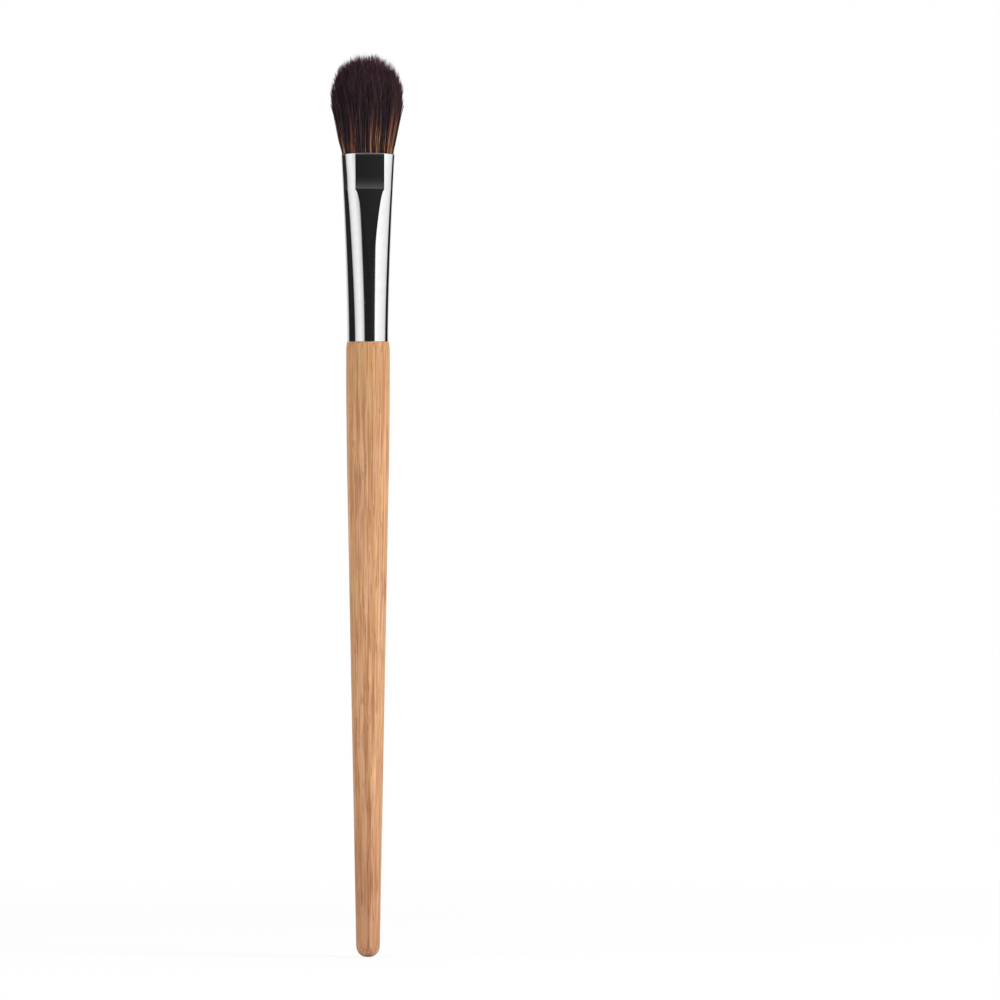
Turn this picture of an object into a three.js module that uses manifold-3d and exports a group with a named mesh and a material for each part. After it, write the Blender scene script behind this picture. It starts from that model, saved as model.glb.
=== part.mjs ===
// Contour brush: a turned bamboo handle, a pressed metal ferrule and a soft tuft of fibres.
// Millimetres. +Z runs from the handle's end to the tuft, the front faces -Y, and the origin is
// the centre of the handle's end.
import * as THREE from "three";
import { mergeVertices } from "three/addons/utils/BufferGeometryUtils.js";
import Module from "manifold-3d";

const wasm = await Module();
wasm.setup();

// Handle
const HANDLE_LENGTH = 119.25; // from the handle's end to the shoulder under the ferrule
const HANDLE_DIAMETER = 8.5; // at the barrel
const HANDLE_END_DIAMETER = 4.6; // where the taper runs into the round end
const HANDLE_END_FLAT = 0.8; // diameter of the small flat at the very end
const BARREL_LENGTH = 14.7; // from the shoulder to where barrel and taper would cross
const BARREL_EASE = 11; // the curve between them reaches this far each way
const SHOULDER_ROUND = 1.75; // height over which the shoulder draws in to the ferrule
const TENON_LENGTH = 13; // inside the ferrule
const TENON_CHAMFER = 0.6;

// Ferrule
const FERRULE_LENGTH = 36.55;
const FERRULE_DIAMETER = 8.1; // at the handle, where it is still round
const FERRULE_WALL = 0.3;
const MOUTH_WIDTH = 10.56;
const FLARE_POWER = 1.6; // 1 would open the tube evenly, more opens it later
const MOUTH_DEPTH = 5.9; // of the mouth's ellipse, before the press flattens it front and back
const DEPTH_POWER = 1.3; // 1 would close the tube evenly, more closes it later
const PANEL_WIDTH = 5.66; // the flat that the press leaves, front and back
const PANEL_LENGTH = 6.9; // from the mouth down to the crease
const FLAT_RUN = 19; // from the crease down to where the flat dies out
const FLAT_POWER = 0.6; // below 1, the flat narrows fastest at the crease

// Tuft
const TUFT_LENGTH = 19.2; // above the mouth
const TUFT_WIDTH = 14.2;
const TUFT_THICKNESS = 8.6;
const BELLY_HEIGHT = 10.8; // from the mouth to the widest place
const FLEX_PIVOT_HEIGHT = 2.9; // above the mouth, where the free fibres swing from
const ROOT_PROUD = 0.6; // how far the set fibres stand out of the mouth

// Inside the ferrule
const GLUE_THICKNESS = 0.2; // of the sleeve around the tenon, at its thinnest
const PLUG_FLOOR = 2.5; // resin below the fibre ends
const PLUG_RIM = 2.5; // resin around the fibre ends
const THREAD_DIAMETER = 0.4;
const THREAD_TURNS = 6;
const BOUND_FLARE = 3; // above the thread, where the bundle spreads to fill the ferrule

// Clearances
const FIT_GAP = 0.08; // between pieces that are glued or packed together
const SEAT_GAP = 0.05; // between the handle's shoulder and the ferrule's edge
const FLEX_GAP = 0.3; // between the set fibres and the swinging ones

// Facets
const TURNED_FACETS = 40;
const TUBE_FACETS = 48;
const FLAT_SHARE = 1 / 3; // share of each quarter's facets that the flat takes
const LEVEL_STEP = 2.6; // most height between two rings of a pressed piece
const DOME_RINGS = 8;
const THREAD_STEPS_PER_TURN = 16;
const THREAD_FACETS = 6;

// Heights
const ferruleBase = HANDLE_LENGTH + SEAT_GAP;
const mouth = ferruleBase + FERRULE_LENGTH;
const crease = mouth - PANEL_LENGTH;
const tenonTop = HANDLE_LENGTH + TENON_LENGTH;
const plugBase = tenonTop + FIT_GAP;
const rootBase = plugBase + PLUG_FLOOR + FIT_GAP;
const plugTop = plugBase + PLUG_FLOOR + PLUG_RIM;
const threadBase = plugTop + FIT_GAP;
const threadTop = threadBase + (THREAD_TURNS + 1) * THREAD_DIAMETER;
const belly = mouth + BELLY_HEIGHT;
const tip = mouth + TUFT_LENGTH;
const flexPivot = mouth + FLEX_PIVOT_HEIGHT;

const ferruleRadius = FERRULE_DIAMETER / 2;
const lerp = THREE.MathUtils.lerp;
const clamp = THREE.MathUtils.clamp;

// The pressed tube is an ellipse in section, with a flat across its front and back. From the handle
// to the mouth the ellipse opens in width and closes in depth.
function tubeWidth(z) {
  const rise = clamp((z - ferruleBase) / FERRULE_LENGTH, 0, 1);
  return lerp(ferruleRadius, MOUTH_WIDTH / 2, Math.pow(rise, FLARE_POWER));
}

function tubeDepth(z) {
  const rise = clamp((z - ferruleBase) / FERRULE_LENGTH, 0, 1);
  return lerp(ferruleRadius, MOUTH_DEPTH / 2, Math.pow(rise, DEPTH_POWER));
}

// Half the thickness across flats of this half-width.
function flatHeight(z, flat) {
  const across = flat / tubeWidth(z);
  return tubeDepth(z) * Math.sqrt(1 - across * across);
}

// The section of the tube's outside at height z: half its width, half its thickness across the flats
// and half the flat's width. The panel is one plane from the crease to the mouth. Below the crease
// the flat narrows and dies out.
function tubeSection(z) {
  const panel = PANEL_WIDTH / 2;
  const width = tubeWidth(z);
  if (z < crease) {
    const below = Math.min((crease - z) / FLAT_RUN, 1);
    const flat = panel * (1 - Math.pow(below, FLAT_POWER));
    return { width, thickness: flatHeight(z, flat), flat };
  }
  const up = Math.min((z - crease) / PANEL_LENGTH, 1);
  const low = flatHeight(crease, panel);
  const high = flatHeight(mouth, panel);
  return { width, thickness: lerp(low, high, up), flat: panel };
}

// The section of the tuft above the mouth: it flares to the belly and closes in a dome.
function tuftSection(z) {
  const start = tubeSection(mouth);
  const inset = FERRULE_WALL + FIT_GAP;
  const flare = clamp((z - mouth) / BELLY_HEIGHT, 0, 1);
  const climb = clamp((z - belly) / (tip - belly), 0, 1);
  const dome = Math.sqrt(1 - climb * climb);
  return {
    width: lerp(start.width - inset, TUFT_WIDTH / 2, flare) * dome,
    thickness: lerp(start.thickness - inset, TUFT_THICKNESS / 2, flare) * dome,
    flat: start.flat * (1 - flare) * (1 - flare),
  };
}

// The place on a section, drawn in by inset, of the point that was at this angle on a round one.
// The points of FLAT_SHARE of each quarter move onto the flat as the tube is pressed.
function pressedPoint(section, angle, inset) {
  const width = section.width - inset;
  const thickness = section.thickness - inset;
  const edge = Math.acos(section.flat / width);
  const ellipseHeight = thickness / Math.sin(edge);
  const quarter = Math.PI / 2;
  const turn = Math.atan2(Math.abs(Math.sin(angle)), Math.abs(Math.cos(angle)));
  const edgeTurn = (1 - FLAT_SHARE) * quarter;
  const pressed = section.flat / (PANEL_WIDTH / 2);
  const movedEdge = lerp(edgeTurn, edge, pressed);
  const onFlat = movedEdge + ((turn - edgeTurn) * (quarter - movedEdge)) / (quarter - edgeTurn);
  const moved = turn < edgeTurn ? (turn * movedEdge) / edgeTurn : onFlat;
  const x = width * Math.cos(moved);
  const y = Math.min(ellipseHeight * Math.sin(moved), thickness);
  return new THREE.Vector2(Math.sign(Math.cos(angle)) * x, Math.sign(Math.sin(angle)) * y);
}

// Heights of the rings between two levels, always with a ring at the crease and at the mouth.
function ringLevels(low, high) {
  const stops = [low, crease, mouth, high].filter((z) => z >= low && z <= high);
  const levels = [low];
  for (let i = 1; i < stops.length; i += 1) {
    const steps = Math.ceil((stops[i] - stops[i - 1]) / LEVEL_STEP);
    for (let k = 1; k <= steps; k += 1) {
      levels.push(lerp(stops[i - 1], stops[i], k / steps));
    }
  }
  return levels;
}

// A turned body on the Z axis, from its profile as (radius, height) points.
function turned(profile, facets) {
  const geometry = new THREE.LatheGeometry(profile, facets);
  geometry.rotateX(Math.PI / 2);
  return closed(geometry);
}

// Only positions, with shared vertices merged.
function closed(geometry) {
  const bare = geometry.clone();
  bare.deleteAttribute("normal");
  bare.deleteAttribute("uv");
  return mergeVertices(bare, 1e-4);
}

// Presses a body that was turned round, with the ferrule's radius for its outside, to the section
// that its height has. Points on the axis stay there.
function press(geometry, sectionAt) {
  const places = geometry.attributes.position;
  for (let i = 0; i < places.count; i += 1) {
    const radius = Math.hypot(places.getX(i), places.getY(i));
    if (radius > 1e-6) {
      const angle = Math.atan2(places.getY(i), places.getX(i));
      const point = pressedPoint(sectionAt(places.getZ(i)), angle, ferruleRadius - radius);
      places.setXY(i, point.x, point.y);
    }
  }
  return geometry;
}

function solid(geometry) {
  const merged = closed(geometry);
  const vertProperties = new Float32Array(merged.attributes.position.array);
  const triVerts = new Uint32Array(merged.index.array);
  return new wasm.Manifold(new wasm.Mesh({ numProp: 3, vertProperties, triVerts }));
}

function geometryOf(manifold) {
  const mesh = manifold.getMesh();
  const geometry = new THREE.BufferGeometry();
  geometry.setAttribute("position", new THREE.BufferAttribute(mesh.vertProperties, 3));
  geometry.setIndex(new THREE.BufferAttribute(mesh.triVerts, 1));
  return geometry;
}

// Handle: the smallest half-thickness around the tenon sets how thick the tenon can be.
const tenonRadius = tubeSection(tenonTop).thickness - FERRULE_WALL - GLUE_THICKNESS - 2 * FIT_GAP;

function handleGeometry() {
  const endFlat = HANDLE_END_FLAT / 2;
  const endRadius = HANDLE_END_DIAMETER / 2;
  const barrelRadius = HANDLE_DIAMETER / 2;
  const crossing = HANDLE_LENGTH - BARREL_LENGTH;
  const easeFrom = crossing - BARREL_EASE;
  const easeRadius = lerp(endRadius, barrelRadius, (easeFrom - endRadius) / (crossing - endRadius));
  const outline = new THREE.Path();
  outline.moveTo(0, 0);
  outline.lineTo(endFlat, 0);
  outline.absellipse(endFlat, endRadius, endRadius - endFlat, endRadius, -Math.PI / 2, 0);
  outline.lineTo(easeRadius, easeFrom);
  outline.quadraticCurveTo(barrelRadius, crossing, barrelRadius, crossing + BARREL_EASE);
  outline.lineTo(barrelRadius, HANDLE_LENGTH - SHOULDER_ROUND);
  outline.quadraticCurveTo(barrelRadius, HANDLE_LENGTH - SHOULDER_ROUND / 2, ferruleRadius, HANDLE_LENGTH);
  outline.lineTo(tenonRadius, HANDLE_LENGTH);
  outline.lineTo(tenonRadius, tenonTop - TENON_CHAMFER);
  outline.lineTo(tenonRadius - TENON_CHAMFER, tenonTop);
  outline.lineTo(0, tenonTop);
  return turned(outline.getPoints(4), TURNED_FACETS);
}

// Ferrule: a round tube, pressed.
function ferruleGeometry() {
  const levels = ringLevels(ferruleBase, mouth);
  const outside = levels.map((z) => new THREE.Vector2(ferruleRadius, z));
  const inside = levels.map((z) => new THREE.Vector2(ferruleRadius - FERRULE_WALL, z)).reverse();
  const profile = [...outside, ...inside, outside[0].clone()];
  return press(turned(profile, TUBE_FACETS), tubeSection);
}

// A solid that fills the pressed tube between two heights, drawn in from its outside by inset.
function pressedFilling(low, high, inset) {
  const radius = ferruleRadius - inset;
  const wall = ringLevels(low, high).map((z) => new THREE.Vector2(radius, z));
  const profile = [new THREE.Vector2(0, low), ...wall, new THREE.Vector2(0, high)];
  return press(turned(profile, TUBE_FACETS), tubeSection);
}

function uprightCylinder(radius, low, high) {
  const geometry = new THREE.CylinderGeometry(radius, radius, high - low, TURNED_FACETS);
  geometry.rotateX(Math.PI / 2);
  geometry.translate(0, 0, (low + high) / 2);
  return geometry;
}

// Glue: the space between tenon and ferrule.
function glueGeometry() {
  const top = tenonTop - TENON_CHAMFER;
  const sleeve = solid(pressedFilling(ferruleBase + FIT_GAP, top, FERRULE_WALL + FIT_GAP));
  const bore = solid(uprightCylinder(tenonRadius + FIT_GAP, HANDLE_LENGTH, tenonTop));
  return geometryOf(sleeve.subtract(bore));
}

// The bundle is drawn in by this much where the thread ties it.
const boundInset = FERRULE_WALL + THREAD_DIAMETER + 2 * FIT_GAP;

// Resin: a cup that fills the ferrule and holds the fibre ends.
function plugGeometry() {
  const cup = solid(pressedFilling(plugBase, plugTop, FERRULE_WALL + FIT_GAP));
  const socket = solid(pressedFilling(plugBase + PLUG_FLOOR, plugTop + PLUG_RIM, boundInset - FIT_GAP));
  return geometryOf(cup.subtract(socket));
}

// Thread: turns that lie side by side around the bundle, inside the ferrule.
class ThreadPath extends THREE.Curve {
  getPoint(t, target = new THREE.Vector3()) {
    const z = lerp(threadBase + THREAD_DIAMETER / 2, threadTop - THREAD_DIAMETER / 2, t);
    const inset = FERRULE_WALL + FIT_GAP + THREAD_DIAMETER / 2;
    const point = pressedPoint(tubeSection(z), t * THREAD_TURNS * 2 * Math.PI, inset);
    return target.set(point.x, point.y, z);
  }
}

function threadGeometry() {
  const radius = (THREAD_DIAMETER - FIT_GAP) / 2;
  const section = new THREE.Shape();
  section.absarc(0, 0, radius, 0, 2 * Math.PI);
  return new THREE.ExtrudeGeometry(section, {
    steps: THREAD_TURNS * THREAD_STEPS_PER_TURN,
    curveSegments: THREAD_FACETS / 2, // for each half of the circle
    extrudePath: new ThreadPath(),
  });
}

// The whole bundle of fibres, from its bound ends to the dome.
function bundle() {
  const packed = ferruleRadius - FERRULE_WALL - FIT_GAP;
  const bound = ferruleRadius - boundInset;
  const inside = ringLevels(threadTop + BOUND_FLARE, mouth);
  const profile = [
    new THREE.Vector2(0, rootBase),
    new THREE.Vector2(bound, rootBase),
    new THREE.Vector2(bound, threadTop),
    ...inside.map((z) => new THREE.Vector2(packed, z)),
    new THREE.Vector2(0, mouth),
  ];
  return press(turned(profile, TUBE_FACETS), tubeSection);
}

function head() {
  const flareLevels = ringLevels(mouth, belly);
  const domeLevels = [];
  for (let i = 1; i < DOME_RINGS; i += 1) {
    domeLevels.push(lerp(belly, tip, Math.sin((i / DOME_RINGS) * Math.PI * 0.5)));
  }
  const wall = [...flareLevels, ...domeLevels].map((z) => new THREE.Vector2(ferruleRadius, z));
  const profile = [new THREE.Vector2(0, mouth), ...wall, new THREE.Vector2(0, tip)];
  return press(turned(profile, TUBE_FACETS), tuftSection);
}

// The free fibres swing about an axis along X. Their underside is round about it.
const knuckleRadius = tuftSection(flexPivot).thickness;

function knuckle(radius) {
  const geometry = new THREE.CylinderGeometry(radius, radius, 2 * TUFT_WIDTH, TURNED_FACETS);
  geometry.rotateZ(Math.PI / 2);
  geometry.translate(0, 0, flexPivot);
  return solid(geometry);
}

function slab(low, high) {
  const geometry = new THREE.BoxGeometry(2 * TUFT_WIDTH, 2 * TUFT_THICKNESS, high - low);
  geometry.translate(0, 0, (low + high) / 2);
  return solid(geometry);
}

function headGeometry() {
  const kept = slab(flexPivot, tip + TUFT_LENGTH).add(knuckle(knuckleRadius));
  return geometryOf(solid(head()).intersect(kept));
}

function rootGeometry() {
  const proud = solid(head()).intersect(slab(crease, mouth + ROOT_PROUD));
  const whole = solid(bundle()).add(proud);
  return geometryOf(whole.subtract(knuckle(knuckleRadius + FLEX_GAP)));
}

// Materials
const bamboo = { color: 0xd3ab86, roughness: 0.45, metalness: 0 };
const polishedMetal = { color: 0xd9d9dc, roughness: 0.08, metalness: 1 };
const darkFibre = { color: 0x2e2326, roughness: 0.6, metalness: 0 };
const cotton = { color: 0xe4dccb, roughness: 0.9, metalness: 0 };
const resin = { color: 0xd8c79a, roughness: 0.25, metalness: 0 };
const glue = { color: 0xe6e2d6, roughness: 0.35, metalness: 0 };

const brush = new THREE.Group();

function addPiece(name, geometry, finish) {
  const mesh = new THREE.Mesh(geometry, new THREE.MeshStandardMaterial(finish));
  mesh.name = name;
  brush.add(mesh);
}

addPiece("handle", handleGeometry(), bamboo);
addPiece("handle_glue", glueGeometry(), glue);
addPiece("ferrule", ferruleGeometry(), polishedMetal);
addPiece("resin_plug", plugGeometry(), resin);
addPiece("binding_thread", threadGeometry(), cotton);
addPiece("tuft_root", rootGeometry(), darkFibre);
addPiece("tuft_head", headGeometry(), darkFibre);

export default brush;
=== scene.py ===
"""Looks of the contour brush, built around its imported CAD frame.

Shapes are worked out in millimetres and turned into metres as each mesh is made. +Z runs from the
handle's end to the tuft and the front faces -Y, as in the CAD.
"""
import math

import bpy
import numpy as np
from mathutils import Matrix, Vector


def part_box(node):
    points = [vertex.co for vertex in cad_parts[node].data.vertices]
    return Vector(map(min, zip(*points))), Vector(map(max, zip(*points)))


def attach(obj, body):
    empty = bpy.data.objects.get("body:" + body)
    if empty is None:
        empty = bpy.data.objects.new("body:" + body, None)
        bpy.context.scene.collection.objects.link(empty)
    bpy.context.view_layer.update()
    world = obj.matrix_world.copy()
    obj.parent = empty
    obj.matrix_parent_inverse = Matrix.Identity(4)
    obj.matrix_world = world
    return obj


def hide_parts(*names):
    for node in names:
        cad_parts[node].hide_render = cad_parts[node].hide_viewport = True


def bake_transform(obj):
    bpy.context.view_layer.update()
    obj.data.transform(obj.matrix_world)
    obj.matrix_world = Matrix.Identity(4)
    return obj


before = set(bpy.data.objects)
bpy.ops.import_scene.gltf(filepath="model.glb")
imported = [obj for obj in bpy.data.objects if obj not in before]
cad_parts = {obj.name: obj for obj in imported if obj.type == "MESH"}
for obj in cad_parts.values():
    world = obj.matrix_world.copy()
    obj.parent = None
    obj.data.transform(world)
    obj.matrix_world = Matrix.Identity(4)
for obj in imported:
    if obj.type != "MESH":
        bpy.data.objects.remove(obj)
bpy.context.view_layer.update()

MM = 0.001
rng = np.random.default_rng(20)

# Sizes that the CAD solids give
handle_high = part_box("handle")[1]
ferrule_low, ferrule_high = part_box("ferrule")
tuft_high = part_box("tuft_head")[1]
HANDLE_RADIUS = handle_high.x / MM
FERRULE_BASE = ferrule_low.z / MM
MOUTH = ferrule_high.z / MM
MOUTH_WIDTH = 2 * ferrule_high.x / MM
TENON_TOP = handle_high.z / MM
TIP = tuft_high.z / MM
TUFT_WIDTH = 2 * tuft_high.x / MM
TUFT_THICKNESS = 2 * tuft_high.y / MM

# Handle
SEAT_GAP = 0.05  # between the handle's shoulder and the ferrule's edge
HANDLE_LENGTH = FERRULE_BASE - SEAT_GAP
HANDLE_END_RADIUS = 2.3
HANDLE_END_FLAT = 0.4  # radius of the flat at the middle of the round end
BARREL_LENGTH = 14.7  # from the shoulder down to where the lines of barrel and taper cross
BARREL_EASE = 11  # how far each side of the crossing one runs into the other
SHOULDER_ROUND = 1.75
TENON_CHAMFER = 0.6
TENON_INSET = 0.66  # from the ferrule's outside to the tenon: the wall, the glue and their gaps
HANDLE_COLUMNS = 128
END_STEPS = 14
TAPER_STEPS = 40
EASE_STEPS = 16
SHOULDER_STEPS = 10

# Ferrule
FERRULE_RADIUS = 4.05  # at the handle, where it is still round
FERRULE_LENGTH = MOUTH - FERRULE_BASE
FERRULE_WALL = 0.3
FLARE_POWER = 1.6  # 1 would open the tube evenly, more opens it later
MOUTH_DEPTH = 5.9  # of the mouth's ellipse, before the press flattens it front and back
DEPTH_POWER = 1.3  # 1 would close the tube evenly, more closes it later
PANEL_HALF = 2.83  # half the width of the flat that the press leaves
PANEL_LENGTH = 7.1  # from the mouth down to the crease
PANEL_CROWN = 0.07  # how far the panel's middle stands out from its edges
CREASE = MOUTH - PANEL_LENGTH
FLAT_RUN = 19  # from the crease down to where the flat dies out
FLAT_POWER = 0.6  # below 1, the flat narrows fastest at the crease
FLAT_SHARE = 1 / 3  # share of each quarter's columns that the flat takes
CREASE_DIP = 0.16  # how much deeper the press bites at the crease
DIP_ABOVE = 3.8  # how far the bite reaches up the panel
DIP_ABOVE_POWER = 3
DIP_BELOW = 6  # how far it reaches down the tube
DIP_BELOW_POWER = 2
LIP_ARCH = 0.2  # how much higher the lip's middle is than its sides
LIP_ARCH_RUN = 1.5  # from the mouth down to where the arch begins
LIP_BEAD = 0.02  # how far the lip stands out
LIP_EDGE = 0.34  # from the mouth down to where the bead begins
LIP_SWELL = ((0.26, 0.5), (0.18, 1))  # rings below the mouth: how far, and their share of the bead
LIP_ROUND = 0.15
LIP_STEPS_OUTSIDE = 6
LIP_STEPS_INSIDE = 4
BASE_ROUND = 0.03
BASE_STEPS = 3
BASE_RINGS = (0.07, 0.12)  # heights of the first two plain rings above the base
TUBE_COLUMNS = 288
TUBE_RINGS = 90
PANEL_RINGS = 39
INNER_PANEL_RINGS = 12
INNER_TUBE_RINGS = 23

# Tuft
FIT_GAP = 0.08  # between the fibres and the ferrule's inside
ROOT_INSET = FERRULE_WALL + FIT_GAP
BELLY_HEIGHT = 10.8  # from the mouth to the widest place
TUFT_LENGTH = TIP - MOUTH
DOME_HEIGHT = TUFT_LENGTH - BELLY_HEIGHT
FAN_OPENING = 1.12  # above 1, the fibres reach their belly place before the belly
LIP_CLEARING = 0.6  # height in which most of what the lip holds back opens
LIP_OPENING = 0.045  # share by which the tuft swells just above the lip
OPENING_FADE = 0.7  # share of that swell which is gone at the belly
LEAN_AT_LIP = 0.12  # how far the tuft leans to the left just above the lip
LEAN_TO_BELLY = 0.08  # and how much further it leans at the belly

# Fibres. They end between a dense dome and an outer reach.
STRANDS = 6000
LOCKS = 260  # large groups of fibres
WISPS = 2400  # small groups, whose tips draw together
OUTER_HALF = np.array((TUFT_WIDTH, TUFT_THICKNESS)) / 2
SIDE_FRINGE = 0.5  # how far the dense dome stays inside the tuft's sides
DENSE_HALF = OUTER_HALF - SIDE_FRINGE
TOP_FRINGE = 0.4  # how far it stays below the tuft's top
DENSE_POWER = 1.8  # its roundness: more is squarer
TOP_REACH = 0.75  # how far the outer reach goes above the tuft's top
REACH_POWER = 2.5  # its roundness
SHORTEST_DROP = 2  # how far below the belly the shortest fibre may end
HALVINGS = 30
ROOT_SPREAD = 0.42  # 0.5 would fill the disc evenly, less leaves its middle thinner
LOCK_SPREAD = 0.45
WISP_JITTER = 0.01
WISP_STRAY = 0.06  # how far a wisp strays from its place at the belly
STRAND_STRAY = 0.03  # how far a fibre strays from its wisp
BELLY_LIMIT = 0.985  # share of the tuft's half-width within which the belly places stay
LOOSE_SHARE = 0.12  # share of the fibres that leave their wisp
LOOSE_RANGE = (0.2, 1)
WISP_TIPS = 0.6  # how much of the way to the outer reach depends on the wisp
WISP_TIPS_POWER = 4
STRAND_TIPS = 0.4  # and on the fibre itself
STRAND_TIPS_POWER = 3
FLICK = 0.15  # how far tips may turn out
LOOSE_FLICK = 0.2
PULLS = (
    # what draws a fibre aside, how much of it the tip gets, and how late along the fibre it sets in
    ("flick", 1, 7),
    ("to_lock", 0.2, 1.5),
    ("to_wisp", 0.5, 6),
)
SWAY = 0.05
WAVE = 0.04
WAVE_TURN = 5  # radians from the mouth to the tip
ROOT_DEPTH = 2.5  # how far fibres go down into the ferrule
STRAND_PLACES = (0, 0.13, 0.26, 0.4, 0.55, 0.7, 0.82, 0.91, 0.965, 1)
STRAND_RINGS = len(STRAND_PLACES) - 1  # the last place is the point
STRAND_SIDES = 3
STRAND_RADIUS = 0.055
RADIUS_RANGE = (0.8, 1.15)
TAPER = 0.6  # share of the radius that is lost towards the tip
TAPER_FROM = 0.45

# Shades of the fibres
GINGER_STREAKS = (
    # place across the mouth, width, reach along the fibre, share of the fibres there
    (-0.95, 0.04, 0.7, 0.35),
    (-0.84, 0.03, 0.7, 0.35),
    (-0.67, 0.02, 0.8, 0.55),
    (-0.56, 0.028, 0.95, 0.85),
    (-0.46, 0.014, 0.75, 0.5),
    (-0.25, 0.014, 0.85, 0.8),
    (-0.15, 0.01, 0.5, 0.5),
    (0.06, 0.026, 1.05, 0.95),
    (0.18, 0.012, 0.7, 0.7),
    (0.28, 0.018, 1.1, 0.85),
    (0.37, 0.012, 0.8, 0.6),
    (0.52, 0.025, 0.6, 0.45),
    (0.73, 0.04, 1.25, 0.95),
    (0.84, 0.035, 1.1, 0.9),
    (0.94, 0.015, 0.8, 0.5),
)
STREAK_JITTER = 0.012
STREAK_REACH_JITTER = 0.1
STRAY_GINGER = 0.14  # share of the other fibres that are ginger too
STRAY_REACHES = (0.2, 0.9)
REACHES = (0.0, 0.25, 0.4, 0.55, 0.7, 0.85, 1.05)
REACH_LIMITS = (0.12, 0.32, 0.47, 0.62, 0.77, 0.92)  # between one of the reaches and the next
TONES = 8
LOCK_TONE = 0.25  # how much of a fibre's tone depends on its lock
WISP_TONE = 0.35  # on its wisp
STRAND_TONE = 0.4  # and on itself
KINDS = TONES * len(REACHES)
KIND_MARGIN = 0.2  # of a kind's column in the bake's map, left free at each side
MAP_MARGIN = 0.02  # of the map's height, left free at each end

# Core of the tuft
CORE_HEIGHTS = (-5.0, -2.0, 0.0, 1.5, 3.0, 5.0, 7.0, 9.0, BELLY_HEIGHT)  # above the mouth
CORE_COLUMNS = 64
CORE_ROOT = 0.86  # share of the mouth's inside
CORE_BELLY = 0.84  # share of the tuft's half-width
CORE_DOME = 0.8  # share of the dome's height
CORE_DOME_TOP = 0.78  # share of the dome's height that its flat top stays under
CORE_DOME_TURNS = (0.2, 1.5)  # radians up the dome's quarter
CORE_DOME_RINGS = 9

# Camera and lamps, in metres
CAMERA_AZIMUTH = math.radians(-9.7)
CAMERA_DISTANCE = 2.0
CAMERA_AIM_RIGHT = 0.0256  # from the brush's axis
CAMERA_AIM_HEIGHT = 0.0886
LAMP_DISTANCE = 0.9
LAMP_SIZE = 0.55
LAMP_AIM_HEIGHT = 0.09

# Picture and floor, in millimetres
SENSOR = 36
MM_PER_PIXEL = 0.19395
FRAME_PIXELS = 1000
FLOOR_RADIUS = 600
FLOOR_DROP = 0.05  # how far the floor is below the handle's end
FLOOR_COLUMNS = 96

# White screens round the brush, with dark gaps between
STUDIO_BANDS = (
    # degrees to the right of the camera as the brush sees it, brightness
    (-180, 0.86),
    (-145, 0.7),
    (-129, 0.52),
    (-126.5, 0.011),
    (-75, 0.011),
    (-72.5, 0.55),
    (-58, 0.86),
    (-40, 0.98),
    (-25, 0.74),
    (-19.6, 0.52),
    (-17.6, 0.014),
    (10, 0.0145),
    (13.4, 0.0155),
    (25.4, 0.023),
    (37.5, 0.027),
    (39.8, 1.12),
    (60, 1.05),
    (95, 0.86),
    (109.5, 0.62),
    (111.5, 0.008),
    (140, 0.008),
    (142.4, 0.92),
    (180, 0.86),
)


def lerp(low, high, share):
    return low + (high - low) * share


def clamp(value):
    return min(max(value, 0), 1)


def steps(count):
    """Even shares up to 1, without the 0 that they start from."""
    return np.linspace(0, 1, count + 1)[1:]


def arc(start_degrees, end_degrees, count):
    """Angles in radians, that many even steps apart."""
    return np.radians(np.linspace(start_degrees, end_degrees, count + 1))


def full_turn(columns):
    return np.linspace(0, 2 * math.pi, columns, endpoint=False)


# Meshes


def new_piece(name, points, faces):
    """A smooth mesh object from points in millimetres."""
    mesh = bpy.data.meshes.new(name)
    mesh.from_pydata([tuple(p) for p in np.asarray(points) * MM], [], faces)
    mesh.polygons.foreach_set("use_smooth", [True] * len(mesh.polygons))
    mesh.update()
    piece = bpy.data.objects.new(name, mesh)
    bpy.context.scene.collection.objects.link(piece)
    return piece


def ring_faces(rings, columns, closed):
    """Quads between rings of points that follow each other. A closed loft joins the last to the first."""
    faces = []
    for ring in range(rings if closed else rings - 1):
        above = (ring + 1) % rings
        for column in range(columns):
            beside = (column + 1) % columns
            faces.append((
                ring * columns + column,
                ring * columns + beside,
                above * columns + beside,
                above * columns + column,
            ))
    return faces


# Handle: one turned piece, with its tenon inside the ferrule


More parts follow.
